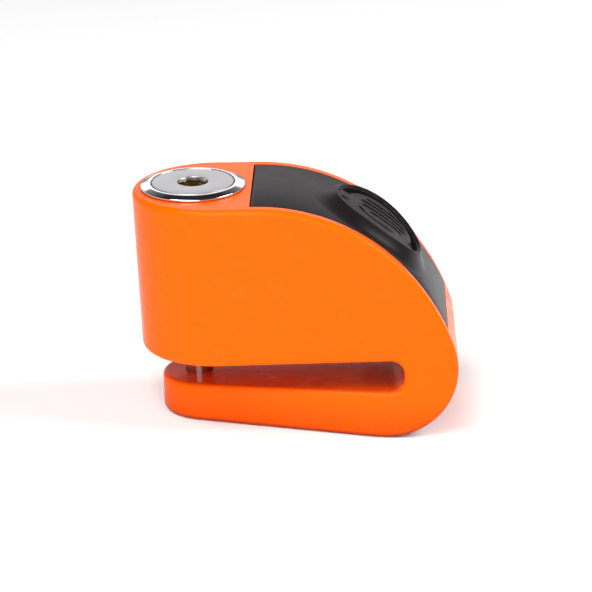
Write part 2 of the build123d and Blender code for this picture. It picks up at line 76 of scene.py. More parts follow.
# Turned profiles: radius and height from the casting's top.
BEZEL_PROFILE = ((9.12, -5.98), (10.28, -5.98), (10.28, 0.04), (11.38, 0.04), (11.38, 0.56), (9.85, 1.09),
                 (9.12, 1.09))
CAP_PROFILE = ((3.35, 0.21), (8.84, 0.21), (8.84, 1.09), (3.35, 1.09))
LUG_TURNS = (50, 130, 230, 310)

# Soft boxes: name, power setting, place, what it faces and its sides, in metres.
SOFT_BOXES = (
    ("key_box", "key", (0.80, 0.0, 0.72), (0.0, 0.0, 0.02), (0.5, 0.5)),
    ("fill_box", "fill", (-0.10, -1.1, 0.45), (0.0, 0.0, 0.03), (0.8, 0.6)),
    ("top_box", "top", (-0.35, -0.50, 1.0), (0.0, 0.0, 0.0), (0.8, 0.6)),
    ("back_panel", "back", (0.0, 1.3, 0.50), (0.0, 0.0, 0.03), (1.8, 0.5)),
)
LENS, SENSOR = 167.23, 36
CAMERA_RIGHT = (0.9997, 0.0209, 0.0087)
CAMERA_BACK = (0.0165, -0.9359, 0.3520)
CAMERA_PLACE = (10.062, -564.386, 238.322)


def to_frame(x, y, z):
    """A place on the lock's own axes, in millimetres, as a place in the frame, in metres."""
    across = x * cos(TILT) - z * sin(TILT) + AXIS_TOP[0]
    up = x * sin(TILT) + z * cos(TILT) + AXIS_TOP[1]
    return Vector((across * MM, y * MM, up * MM))


def on_crown(s, y, h):
    """A place on the casting's back: s along it from where the crown starts, h out from it."""
    crown_length = CROWN_R * CROWN_TURN
    if s <= 0:
        return to_frame(CROWN_X + s, y, h)
    if s <= crown_length:
        turn = s / CROWN_R
        return to_frame(CROWN_X + (CROWN_R + h) * sin(turn), y, (CROWN_R + h) * cos(turn) - CROWN_R)
    x = CROWN_X + (CROWN_R - SHOULDER_R) * sin(CROWN_TURN)
    z = (CROWN_R - SHOULDER_R) * cos(CROWN_TURN) - CROWN_R
    turn = CROWN_TURN + (s - crown_length) / SHOULDER_R
    return to_frame(x + (SHOULDER_R + h) * sin(turn), y, z + (SHOULDER_R + h) * cos(turn))


DOME_S = CROWN_R * DOME_TURN


# ---- sizes and colours a user would change -------------------------------------------------------
def length(name, text, value):
    """A length setting, given in millimetres."""
    return bpy.props.FloatProperty(name=name, description=text, default=value * MM, subtype="DISTANCE",
                                   unit="LENGTH", precision=5)


def colour(name, text, value):
    """A colour setting."""
    return bpy.props.FloatVectorProperty(name=name, description=text, default=value, size=3, min=0, max=1,
                                         subtype="COLOR")


class TrimSettings(bpy.types.PropertyGroup):
    half_width: length("Half width", "Half the width of the black strip", 14.4)
    start: length("Start", "Where the strip starts, from the beginning of the crown", -1.0)
    thickness: length("Thickness", "Thickness of the moulding", 1.6)
    corner: length("Corner", "Radius of the strip's corners", 0.9)
    edge: length("Edge", "Rounding of the strip's upper edge", 0.22)


class DomeSettings(bpy.types.PropertyGroup):
    rim: length("Rim", "Radius of the dome's rim", 11.0)
    base: length("Base", "Radius at which the dome's flank runs out", 16.5)
    height: length("Height", "Height of the rim above the strip", 2.1)
    drop: length("Drop", "How far the grille lies below the rim", 0.5)
    moat_floor: length("Moat floor", "Height of the moat's floor above the strip", 0.45)
    slot: length("Slot", "Width of the sound slots", 1.25)


class FinishSettings(bpy.types.PropertyGroup):
    paint: colour("Paint", "Orange paint of the casting", (1.0, 0.118, 0.0))
    trim: colour("Trim", "Black moulding of the strip", (0.013, 0.0095, 0.0105))
    chrome: colour("Chrome", "Plated ring", (0.80, 0.79, 0.80))
    satin: colour("Satin steel", "Turned face of the cylinder", (0.66, 0.65, 0.67))
    brass: colour("Brass", "Key core and discs", (0.72, 0.50, 0.22))


class StageSettings(bpy.types.PropertyGroup):
    floor_size: bpy.props.FloatProperty(name="Floor size", description="Side of the floor", default=6.0,
                                        subtype="DISTANCE", unit="LENGTH")
    world: bpy.props.FloatProperty(name="Surround", description="Strength of the even white surround",
                                   default=0.34, min=0)
    key: bpy.props.FloatProperty(name="Key light", description="Power of the soft box on the alarm side",
                                 default=8.0, min=0, subtype="POWER", unit="POWER")
    fill: bpy.props.FloatProperty(name="Fill light", description="Power of the soft box in front",
                                  default=6.8, min=0, subtype="POWER", unit="POWER")
    top: bpy.props.FloatProperty(name="Top light", description="Power of the soft box above and in front",
                                 default=11.5, min=0, subtype="POWER", unit="POWER")
    back: bpy.props.FloatProperty(name="Back light", description="Power of the low panel behind",
                                  default=2.6, min=0, subtype="POWER", unit="POWER")


# ---- small helpers -------------------------------------------------------------------------------
def deselect():
    """Leave edit mode and select nothing."""
    if bpy.context.mode != "OBJECT":
        bpy.ops.object.mode_set(mode="OBJECT")
    bpy.ops.object.select_all(action="DESELECT")


def newest(name):
    """Name the piece just made, and its mesh."""
    piece = bpy.context.object
    piece.name = name
    piece.data.name = name
    return piece


def edit(piece):
    """Open one piece in edit mode."""
    deselect()
    piece.select_set(True)
    bpy.context.view_layer.objects.active = piece
    bpy.ops.object.mode_set(mode="EDIT")


def done():
    """Leave edit mode."""
    bpy.ops.object.mode_set(mode="OBJECT")


def choose(piece, kind, test):
    """In edit mode, select only the faces or edges of piece for which test is true."""
    bpy.ops.mesh.select_mode(type=kind)
    bpy.ops.mesh.select_all(action="DESELECT")
    shape = bmesh.from_edit_mesh(piece.data)
    elements = shape.faces if kind == "FACE" else shape.edges
    for element in elements:
        element.select_set(test(element))
    bmesh.update_edit_mesh(piece.data)


def upright(edge):
    """True for an edge that stands along z."""
    a, b = (v.co for v in edge.verts)
    return (a - b).xy.length < 1e-6


def apply_place(piece):
    """Work the piece's place, turn and scale into its mesh."""
    deselect()
    piece.select_set(True)
    bpy.context.view_layer.objects.active = piece
    bpy.ops.object.transform_apply(location=True, rotation=True, scale=True)


def join(pieces, name):
    """Join pieces into the first and name the result."""
    deselect()
    for piece in pieces:
        piece.select_set(True)
    bpy.context.view_layer.objects.active = pieces[0]
    bpy.ops.object.join()
    return newest(name)


def use_modifier(piece, kind, **values):
    """Add a modifier, set it and apply it."""
    deselect()
    piece.select_set(True)
    bpy.context.view_layer.objects.active = piece
    modifier = piece.modifiers.new(kind.title(), kind)
    for key, value in values.items():
        setattr(modifier, key, value)
    bpy.ops.object.modifier_apply(modifier=modifier.name)


def cut_away(piece, tool):
    """Take tool out of piece and remove it."""
    use_modifier(piece, "BOOLEAN", operation="DIFFERENCE", object=tool, solver="EXACT", use_self=True)
    bpy.data.objects.remove(tool, do_unlink=True)


def slice_along(piece, low, high, step):
    """Cut the flat piece across every step, so that it bends smoothly."""
    edit(piece)
    count = int((high - low) / step)
    for i in range(count + 1):
        bpy.ops.mesh.select_all(action="SELECT")
        bpy.ops.mesh.bisect(plane_co=((low + i * step) * MM, 0, 0), plane_no=(1, 0, 0))
    done()


def lay_on_crown(piece):
    """Bend the flat piece, drawn with x along the back and z out from it, onto the casting."""
    for vertex in piece.data.vertices:
        s, y, h = vertex.co / MM
        vertex.co = on_crown(s, y, h)
    piece.data.update()


def smooth(piece, angle):
    """Smooth shading up to an angle in degrees."""
    deselect()
    piece.select_set(True)
    bpy.context.view_layer.objects.active = piece
    bpy.ops.object.shade_smooth_by_angle(angle=radians(angle), keep_sharp_edges=False)


def tidy_mesh(piece, gap=0.004):
    """Merge points that meet and turn the faces outwards."""
    edit(piece)
    bpy.ops.mesh.select_all(action="SELECT")
    bpy.ops.mesh.remove_doubles(threshold=gap * MM)
    bpy.ops.mesh.normals_make_consistent(inside=False)
    done()


def dress(piece, body, material):
    """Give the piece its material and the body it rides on."""
    piece.data.materials.clear()
    piece.data.materials.append(material)
    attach(piece, body)


def spun(name, profile, steps=160):
    """Turn a closed profile of (radius, height) in millimetres about the z axis."""
    deselect()
    bpy.ops.mesh.primitive_plane_add(size=1 * MM)
    piece = newest(name)
    edit(piece)
    bpy.ops.mesh.delete(type="ONLY_FACE")
    shape = bmesh.from_edit_mesh(piece.data)
    bmesh.ops.delete(shape, geom=list(shape.verts), context="VERTS")
    points = [shape.verts.new((radius * MM, 0, height * MM)) for radius, height in profile]
    for a, b in zip(points, points[1:] + points[:1]):
        shape.edges.new((a, b))
    bmesh.update_edit_mesh(piece.data)
    bpy.ops.mesh.select_all(action="SELECT")
    bpy.ops.mesh.spin(steps=steps, angle=2 * pi, center=(0, 0, 0), axis=(0, 0, 1), use_auto_merge=True)
    bpy.ops.mesh.select_all(action="SELECT")
    bpy.ops.mesh.remove_doubles(threshold=0.002 * MM)
    bpy.ops.mesh.normals_make_consistent(inside=False)
    done()
    return piece


def rounded(points, radius, steps=5):
    """The profile with its corners rounded."""
    out = []
    count = len(points)
    for i, (x, z) in enumerate(points):
        here = Vector((x, z))
        before = Vector(points[i - 1]) - here
        after = Vector(points[(i + 1) % count]) - here
        reach = min(radius, before.length * 0.45, after.length * 0.45)
        start = here + before.normalized() * reach
        end = here + after.normalized() * reach
        for k in range(steps + 1):
            t = k / steps
            out.append(tuple(start * (1 - t) ** 2 + here * (2 * t * (1 - t)) + end * t ** 2))
    return out


def stand_on_axis(piece):
    """Move a piece drawn about the z axis onto the lock axis."""
    for vertex in piece.data.vertices:
        vertex.co = to_frame(*(vertex.co / MM))
    piece.data.update()


# ---- node groups ---------------------------------------------------------------------------------
MIX_A, MIX_B, MIX_OUT = 6, 7, 2      # the colour sockets of a Mix node


def new_group(name, inputs, outputs):
    """A shader group with named sockets, and its input and output nodes."""
    group = bpy.data.node_groups.new(name, "ShaderNodeTree")
    for label, kind, value in inputs:
        socket = group.interface.new_socket(name=label, in_out="INPUT", socket_type=kind)
        if value is not None:
            socket.default_value = value
    for label, kind in outputs:
        group.interface.new_socket(name=label, in_out="OUTPUT", socket_type=kind)
    return group, group.nodes.new("NodeGroupInput"), group.nodes.new("NodeGroupOutput")


def add(tree, kind, links=None, **values):
    """A node with values set and its inputs linked from the sockets given by name or number."""
    node = tree.nodes.new(kind)
    for key, value in values.items():
        setattr(node, key, value)
    for key, source in (links or {}).items():
        if isinstance(source, bpy.types.NodeSocket):
            tree.links.new(source, node.inputs[key])
        else:
            node.inputs[key].default_value = source
    return node


def grain_group():
    """Fine moulded or sprayed grain: a height and a mask from two noises."""
    group, start, end = new_group(
        "Fine grain", [("Vector", "NodeSocketVector", None), ("Scale", "NodeSocketFloat", 900.0),
                       ("Coarse", "NodeSocketFloat", 120.0)],
        [("Height", "NodeSocketFloat"), ("Mask", "NodeSocketFloat")])
    fine = add(group, "ShaderNodeTexNoise", {"Vector": start.outputs["Vector"],
                                             "Scale": start.outputs["Scale"], "Detail": 3.0})
    coarse = add(group, "ShaderNodeTexNoise", {"Vector": start.outputs["Vector"],
                                               "Scale": start.outputs["Coarse"], "Detail": 4.0})
    mixed = add(group, "ShaderNodeMath", {0: fine.outputs["Fac"], 1: coarse.outputs["Fac"]},
                operation="MULTIPLY")
    ramp = add(group, "ShaderNodeMapRange", {"Value": coarse.outputs["Fac"], "From Min": 0.38,
                                             "From Max": 0.66})
    group.links.new(mixed.outputs[0], end.inputs["Height"])
    group.links.new(ramp.outputs["Result"], end.inputs["Mask"])
    return group


def drift_group():
    """A colour that drifts slowly between two tones over the surface."""
    group, start, end = new_group(
        "Tone drift", [("Vector", "NodeSocketVector", None), ("Scale", "NodeSocketFloat", 60.0),
                       ("Tone A", "NodeSocketColor", (1, 1, 1, 1)),
                       ("Tone B", "NodeSocketColor", (0, 0, 0, 1))],
        [("Color", "NodeSocketColor"), ("Mask", "NodeSocketFloat")])
    noise = add(group, "ShaderNodeTexNoise", {"Vector": start.outputs["Vector"],
                                              "Scale": start.outputs["Scale"], "Detail": 5.0,
                                              "Roughness": 0.6})
    ramp = add(group, "ShaderNodeMapRange", {"Value": noise.outputs["Fac"], "From Min": 0.3,
                                             "From Max": 0.7})
    mix = add(group, "ShaderNodeMix", {"Factor": ramp.outputs["Result"]}, data_type="RGBA")
    group.links.new(start.outputs["Tone A"], mix.inputs[MIX_A])
    group.links.new(start.outputs["Tone B"], mix.inputs[MIX_B])
    group.links.new(mix.outputs[MIX_OUT], end.inputs["Color"])
    group.links.new(ramp.outputs["Result"], end.inputs["Mask"])
    return group


def turned_group():
    """Lathe lines: rings about the lock axis, broken up a little."""
    group, start, end = new_group(
        "Turned lines", [("Vector", "NodeSocketVector", None), ("Lines", "NodeSocketFloat", 2600.0)],
        [("Height", "NodeSocketFloat"), ("Mask", "NodeSocketFloat")])
    parts = add(group, "ShaderNodeSeparateXYZ", {"Vector": start.outputs["Vector"]})
    flat = add(group, "ShaderNodeCombineXYZ", {"X": parts.outputs["X"], "Y": parts.outputs["Y"]})
    radius = add(group, "ShaderNodeVectorMath", {0: flat.outputs[0]}, operation="LENGTH")
    spread = add(group, "ShaderNodeMath", {0: radius.outputs["Value"], 1: start.outputs["Lines"]},
                 operation="MULTIPLY")
    rings = add(group, "ShaderNodeTexNoise", {"W": spread.outputs[0], "Scale": 1.0, "Detail": 3.0},
                noise_dimensions="1D")
    patches = add(group, "ShaderNodeTexNoise", {"Vector": start.outputs["Vector"], "Scale": 350.0})
    height = add(group, "ShaderNodeMath", {0: rings.outputs["Fac"], 1: patches.outputs["Fac"]},
                 operation="MULTIPLY")
    group.links.new(height.outputs[0], end.inputs["Height"])
    group.links.new(rings.outputs["Fac"], end.inputs["Mask"])
    return group


def brushed_group():
    """Drawn or ground lines along one direction: noise stretched along x after Mapping."""
    group, start, end = new_group(
        "Ground lines", [("Vector", "NodeSocketVector", None), ("Scale", "NodeSocketFloat", 900.0)],
        [("Height", "NodeSocketFloat"), ("Mask", "NodeSocketFloat")])
    stretch = add(group, "ShaderNodeVectorMath", {0: start.outputs["Vector"], 1: (1.0, 1.0, 0.04)},
                  operation="MULTIPLY")
    lines = add(group, "ShaderNodeTexNoise", {"Vector": stretch.outputs[0],
                                              "Scale": start.outputs["Scale"], "Detail": 4.0})
    group.links.new(lines.outputs["Fac"], end.inputs["Height"])
    group.links.new(lines.outputs["Fac"], end.inputs["Mask"])
    return group


def wear_and_highlight_group():
    """A mask of corners, where the surface's rounded normal leaves its flat one: the lighter tone mixed in
    there is partly wear and partly a painted edge highlight.
    """
    group, start, end = new_group(
        "Corner wear", [("Vector", "NodeSocketVector", None), ("Reach", "NodeSocketFloat", 0.0004),
                        ("Scale", "NodeSocketFloat", 500.0), ("Amount", "NodeSocketFloat", 0.6)],
        [("Mask", "NodeSocketFloat")])
    bevel = add(group, "ShaderNodeBevel", {"Radius": start.outputs["Reach"]}, samples=4)
    geometry = group.nodes.new("ShaderNodeNewGeometry")
    dot = add(group, "ShaderNodeVectorMath", {0: bevel.outputs[0], 1: geometry.outputs["Normal"]},
              operation="DOT_PRODUCT")
    sharp = add(group, "ShaderNodeMapRange", {"Value": dot.outputs["Value"], "From Min": 0.995,
                                              "From Max": 0.90})
    noise = add(group, "ShaderNodeTexNoise", {"Vector": start.outputs["Vector"],
                                              "Scale": start.outputs["Scale"], "Detail": 4.0})
    broken = add(group, "ShaderNodeMapRange", {"Value": noise.outputs["Fac"], "From Min": 0.5,
                                               "From Max": 0.62})
    both = add(group, "ShaderNodeMath", {0: sharp.outputs["Result"], 1: broken.outputs["Result"]},
               operation="MULTIPLY")
    amount = add(group, "ShaderNodeMath", {0: both.outputs[0], 1: start.outputs["Amount"]},
                 operation="MULTIPLY")
    group.links.new(amount.outputs[0], end.inputs["Mask"])
    return group


def painted_shade_group():
    """Painted shade: a colour that goes darker, towards a deep red, where the surface is hemmed in, as in
    the slot and round the gaps, standing in for the shade that falls there.
    """
    group, start, end = new_group(
        "Cavity tone", [("Color", "NodeSocketColor", (1, 1, 1, 1)), ("Reach", "NodeSocketFloat", 0.010),
                        ("Depth", "NodeSocketFloat", 1.0)],
        [("Color", "NodeSocketColor")])
    # painted shade: ambient occlusion mixes the colour towards a dark red in hollows and gaps
    open_sky = add(group, "ShaderNodeAmbientOcclusion", {"Distance": start.outputs["Reach"]}, samples=8)
    closed = add(group, "ShaderNodeMath", {0: 1.0, 1: open_sky.outputs["AO"]}, operation="SUBTRACT")
    amount = add(group, "ShaderNodeMath", {0: closed.outputs[0], 1: start.outputs["Depth"]},
                 operation="MULTIPLY", use_clamp=True)
    mix = add(group, "ShaderNodeMix", {"Factor": amount.outputs[0]}, data_type="RGBA")
    group.links.new(start.outputs["Color"], mix.inputs[MIX_A])
    # the deep red of the painted shade
    mix.inputs[MIX_B].default_value = (0.22, 0.006, 0.0, 1)
    group.links.new(mix.outputs[MIX_OUT], end.inputs["Color"])
    return group


GROUPS = {}


def shared(name):
    """A shader group by its short name, made once."""
    if name not in GROUPS:
        makers = {"grain": grain_group, "drift": drift_group, "turned": turned_group,
                  "ground": brushed_group, "edge": wear_and_highlight_group, "painted_shade": painted_shade_group}
        GROUPS[name] = makers[name]()
    return GROUPS[name]


# ---- materials -----------------------------------------------------------------------------------
def base_material(name, **sockets):
    """A Principled material with its constant values set; gives tree, shader and Object coordinates."""
    material = bpy.data.materials.new(name)
    material.use_nodes = True
    tree = material.node_tree
    shader = tree.nodes["Principled BSDF"]
    for key, value in sockets.items():
        shader.inputs[key.replace("_", " ")].default_value = value
    place = tree.nodes.new("ShaderNodeTexCoord")
    return material, tree, shader, place.outputs["Object"]


def place_group(tree, name, vector, **values):
    """Use a shared group in a material with its values set."""
    node = tree.nodes.new("ShaderNodeGroup")
    node.node_tree = shared(name)
    tree.links.new(vector, node.inputs["Vector"])
    for key, value in values.items():
        node.inputs[key.replace("_", " ")].default_value = value
    return node


def tones(tree, shader, vector, a, b, scale):
    """Base colour that drifts between two tones."""
    drift = place_group(tree, "drift", vector, Scale=scale, Tone_A=(*a, 1), Tone_B=(*b, 1))
    tree.links.new(drift.outputs["Color"], shader.inputs["Base Color"])
    return drift


def vary_roughness(tree, shader, mask, low, high):
    """Roughness that follows a mask between two values."""
    spread = add(tree, "ShaderNodeMapRange", {"Value": mask, "To Min": low, "To Max": high})
    tree.links.new(spread.outputs["Result"], shader.inputs["Roughness"])


def bump(tree, shader, height, strength, distance):
    """Fine relief from a height."""
    node = add(tree, "ShaderNodeBump", {"Height": height, "Strength": strength, "Distance": distance * MM})
    tree.links.new(node.outputs["Normal"], shader.inputs["Normal"])


def shade(tone, factor):
    """A tone made darker or lighter."""
    return tuple(min(1.0, channel * factor) for channel in tone)


def about_axis(tree, vector):
    """Object coordinates centred on the lock axis and turned upright."""
    top = to_frame(0, 0, 0)
    return add(tree, "ShaderNodeMapping", {"Vector": vector, "Location": (-top.x, 0, -top.z)}).outputs[0]


def orange_paint(colour_value):
    """Sprayed paint, with painted shade that darkens its colour where it is hemmed in."""
    material, tree, shader, vector = base_material("orange_paint", Specular_IOR_Level=0.06,
                                                   Coat_Weight=0.05, Coat_Roughness=0.03)
    drift = tones(tree, shader, vector, colour_value, shade(colour_value, 0.985), 30.0)
    # painted shade: the paint's colour is darkened in the slot and round the gaps
    painted_shade = tree.nodes.new("ShaderNodeGroup")
    painted_shade.node_tree = shared("painted_shade")
    tree.links.new(drift.outputs["Color"], painted_shade.inputs["Color"])
    tree.links.new(painted_shade.outputs["Color"], shader.inputs["Base Color"])
    grain = place_group(tree, "grain", vector, Scale=1500.0, Coarse=260.0)
    vary_roughness(tree, shader, grain.outputs["Mask"], 0.2, 0.3)
    bump(tree, shader, grain.outputs["Height"], 0.25, 0.012)
    return material


def metal(name, tone, low, high, lines="grain", strength=0.3, depth=0.01, scale=900.0, dark=0.86):
    """A metal with turned, ground or plain grain."""
    material, tree, shader, vector = base_material(name, Metallic=1.0)
    tones(tree, shader, vector, tone, shade(tone, dark), 160.0)
    if lines == "turned":
        texture = place_group(tree, "turned", about_axis(tree, vector), Lines=scale)
    elif lines == "ground":
        texture = place_group(tree, "ground", vector, Scale=scale)
    else:
        texture = place_group(tree, "grain", vector, Scale=scale, Coarse=scale / 6)
    vary_roughness(tree, shader, texture.outputs["Mask"], low, high)
    bump(tree, shader, texture.outputs["Height"], strength, depth)
    return material


def plastic(name, tone, low, high, strength=0.4, depth=0.02, scale=1600.0, wear_and_highlight_tone=None, coat=0.0,
            specular=0.5):
    """A moulding with fine grain and, if a corner tone is given, corners lightened partly by wear and partly
    by a painted highlight.
    """
    material, tree, shader, vector = base_material(name, Specular_IOR_Level=specular, Coat_Weight=coat,
                                                   Coat_Roughness=0.15)
    drift = tones(tree, shader, vector, tone, shade(tone, 0.8), 90.0)
    grain = place_group(tree, "grain", vector, Scale=scale, Coarse=scale / 5)
    vary_roughness(tree, shader, grain.outputs["Mask"], low, high)
    bump(tree, shader, grain.outputs["Height"], strength, depth)
    # painted highlight and wear: the corners are mixed to a lighter tone
    if wear_and_highlight_tone:
        wear_and_highlight_mask = place_group(tree, "edge", vector, Reach=0.00035, Scale=700.0, Amount=0.55)
        mix = add(tree, "ShaderNodeMix", {"Factor": wear_and_highlight_mask.outputs["Mask"]}, data_type="RGBA")
        tree.links.new(drift.outputs["Color"], mix.inputs[MIX_A])
        mix.inputs[MIX_B].default_value = (*wear_and_highlight_tone, 1)
        tree.links.new(mix.outputs[MIX_OUT], shader.inputs["Base Color"])
    return material


def board_material():
    """Green solder mask with paler copper tracks showing through."""
    material, tree, shader, vector = base_material("board_mask", Coat_Weight=0.4, Coat_Roughness=0.1)
    drift = place_group(tree, "drift", vector, Scale=250.0, Tone_A=(0.01, 0.11, 0.04, 1),
                        Tone_B=(0.006, 0.07, 0.025, 1))
    tracks = add(tree, "ShaderNodeTexBrick", {"Vector": vector, "Scale": 300.0, "Mortar Size": 0.05})
    mix = add(tree, "ShaderNodeMix", {"Factor": tracks.outputs["Fac"]}, data_type="RGBA")
    tree.links.new(drift.outputs["Color"], mix.inputs[MIX_A])
    mix.inputs[MIX_B].default_value = (0.03, 0.2, 0.07, 1)
    tree.links.new(mix.outputs[MIX_OUT], shader.inputs["Base Color"])
    vary_roughness(tree, shader, drift.outputs["Mask"], 0.25, 0.4)
    bump(tree, shader, tracks.outputs["Fac"], 0.4, 0.03)
    return material


def glass_material():
    """Clear tinted glass."""
    material, tree, shader, vector = base_material("reed_glass", Transmission_Weight=1.0, IOR=1.5)
    tones(tree, shader, vector, (0.8, 0.95, 0.88), (0.7, 0.88, 0.8), 300.0)
    grain = place_group(tree, "grain", vector, Scale=800.0, Coarse=200.0)
    vary_roughness(tree, shader, grain.outputs["Mask"], 0.02, 0.08)
    bump(tree, shader, grain.outputs["Height"], 0.1, 0.005)
    return material


def membrane_material():
    """Thin woven mesh: crossed waves."""
    material, tree, shader, vector = base_material("membrane_weave")
    tones(tree, shader, vector, (0.012, 0.011, 0.012), (0.006, 0.006, 0.006), 200.0)
    one = add(tree, "ShaderNodeTexWave", {"Vector": vector, "Scale": 900.0}, bands_direction="X")
    two = add(tree, "ShaderNodeTexWave", {"Vector": vector, "Scale": 900.0}, bands_direction="Y")
    weave = add(tree, "ShaderNodeMath", {0: one.outputs["Fac"], 1: two.outputs["Fac"]}, operation="MAXIMUM")
    vary_roughness(tree, shader, weave.outputs[0], 0.6, 0.8)
    bump(tree, shader, weave.outputs[0], 0.6, 0.05)
    return material


MATERIALS = {}


def finish(slot):
    """The material for one of the record's slots, made once."""
    if slot in MATERIALS:
        return MATERIALS[slot]
    tone = bpy.context.scene.lock_finish
    makers = {
        "orange_paint": lambda: orange_paint(tuple(tone.paint)),
        "chrome": lambda: metal("chrome_plate", tuple(tone.chrome), 0.04, 0.09, "grain", 0.08, 0.004,
                                700.0, 0.96),
        "satin_steel": lambda: metal("satin_steel", tuple(tone.satin), 0.3, 0.42, "turned", 0.3, 0.01,
                                     5200.0, 0.95),
        "hard_steel": lambda: metal("hard_steel", (0.62, 0.60, 0.60), 0.08, 0.18, "ground", 0.15,
                                    0.006, 1500.0),
        "spring_steel": lambda: metal("spring_steel", (0.42, 0.42, 0.45), 0.25, 0.4, "grain", 0.3,
                                      0.01, 1500.0),
        "brass": lambda: metal("brass", tuple(tone.brass), 0.2, 0.36, "turned", 0.3, 0.01, 4000.0),
        # the black moulding's corners go to a pale grey, partly wear and partly a painted edge highlight
        "black_plastic": lambda: plastic("black_moulding", tuple(tone.trim), 0.30, 0.33, 0.35, 0.015, 2200.0,
                                         (0.12, 0.11, 0.115), 0.0, 0.07),
        "tub_plastic": lambda: plastic("tub_moulding", (0.03, 0.03, 0.034), 0.45, 0.6, 0.5, 0.03, 1300.0,
                                       (0.08, 0.08, 0.085)),
        "rubber": lambda: plastic("rubber", (0.014, 0.014, 0.014), 0.65, 0.85, 0.5, 0.03, 1100.0),
        "board": board_material,
        "component_black": lambda: plastic("component_epoxy", (0.02, 0.02, 0.022), 0.4, 0.55, 0.3,
                                           0.01, 2500.0),
        "wire_red": lambda: plastic("wire_red", (0.42, 0.01, 0.012), 0.22, 0.34, 0.15, 0.01, 900.0),
        "cell_steel": lambda: metal("cell_nickel", (0.7, 0.69, 0.66), 0.14, 0.26, "grain", 0.2, 0.008,
                                    1200.0),
        "membrane": membrane_material,
        "reed_glass": glass_material,
    }
    MATERIALS[slot] = makers[slot]()
    return MATERIALS[slot]


# ---- operators -----------------------------------------------------------------------------------
class LOCK_OT_finishes(bpy.types.Operator):
    """Give every part of the frame the finish of its material slot"""
    bl_idname = "lock.finishes"
    bl_label = "Frame finishes"

    def execute(self, context):
        rows = {row["node"]: row["material_slot"] for row in frame["record"]["subparts"]}
        for name, node in frame["nodes"].items():
            material = finish(rows[name])
            for place in node.material_slots:
                place.material = material
        return {"FINISHED"}


class LOCK_OT_trim_strip(bpy.types.Operator):
    """Model the black strip over the casting's back, with an opening under the grille"""
    bl_idname = "lock.trim_strip"
    bl_label = "Trim strip"

    def execute(self, context):
        size = context.scene.lock_trim
        half, start = size.half_width / MM, size.start / MM
        thickness = size.thickness / MM
        end = self.end_of_strip()
        deselect()
        middle = ((start + end) / 2 * MM, 0, -thickness / 2 * MM)
        bpy.ops.mesh.primitive_cube_add(size=1 * MM, location=middle,
                                        scale=(end - start, 2 * half, thickness))
        strip = newest("trim_strip")
        apply_place(strip)
        edit(strip)
        choose(strip, "EDGE", upright)
        bpy.ops.mesh.bevel(offset=size.corner, segments=6, affect="EDGES")
        choose(strip, "FACE", lambda face: face.normal.z > 0.9)
        bpy.ops.mesh.region_to_loop()
        bpy.ops.mesh.bevel(offset=size.edge, segments=4, affect="EDGES")
        done()
        deselect()
        bpy.ops.mesh.primitive_cylinder_add(vertices=96, radius=GRILLE_BORE_R * MM, depth=6 * MM,
                                            location=(DOME_S * MM, 0, 0))
        cut_away(strip, newest("bore"))
        slice_along(strip, start + 1, end - 0.6, SLICE)
        lay_on_crown(strip)
        tidy_mesh(strip)
        smooth(strip, 32)
        dress(strip, "casing", finish("black_plastic"))
        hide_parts("trim_cover")
        return {"FINISHED"}

    def end_of_strip(self):
        """How far along the back the strip's lower cross edge lies."""
        low, high = CROWN_R * CROWN_TURN, CROWN_R * CROWN_TURN + 30
        target = to_frame(CROWN_X + 41, 0, STRIP_END_Z).z
        for _ in range(40):
            middle = (low + high) / 2
            if on_crown(middle, 0, 0).z > target:
                low = middle
            else:
                high = middle
        return low


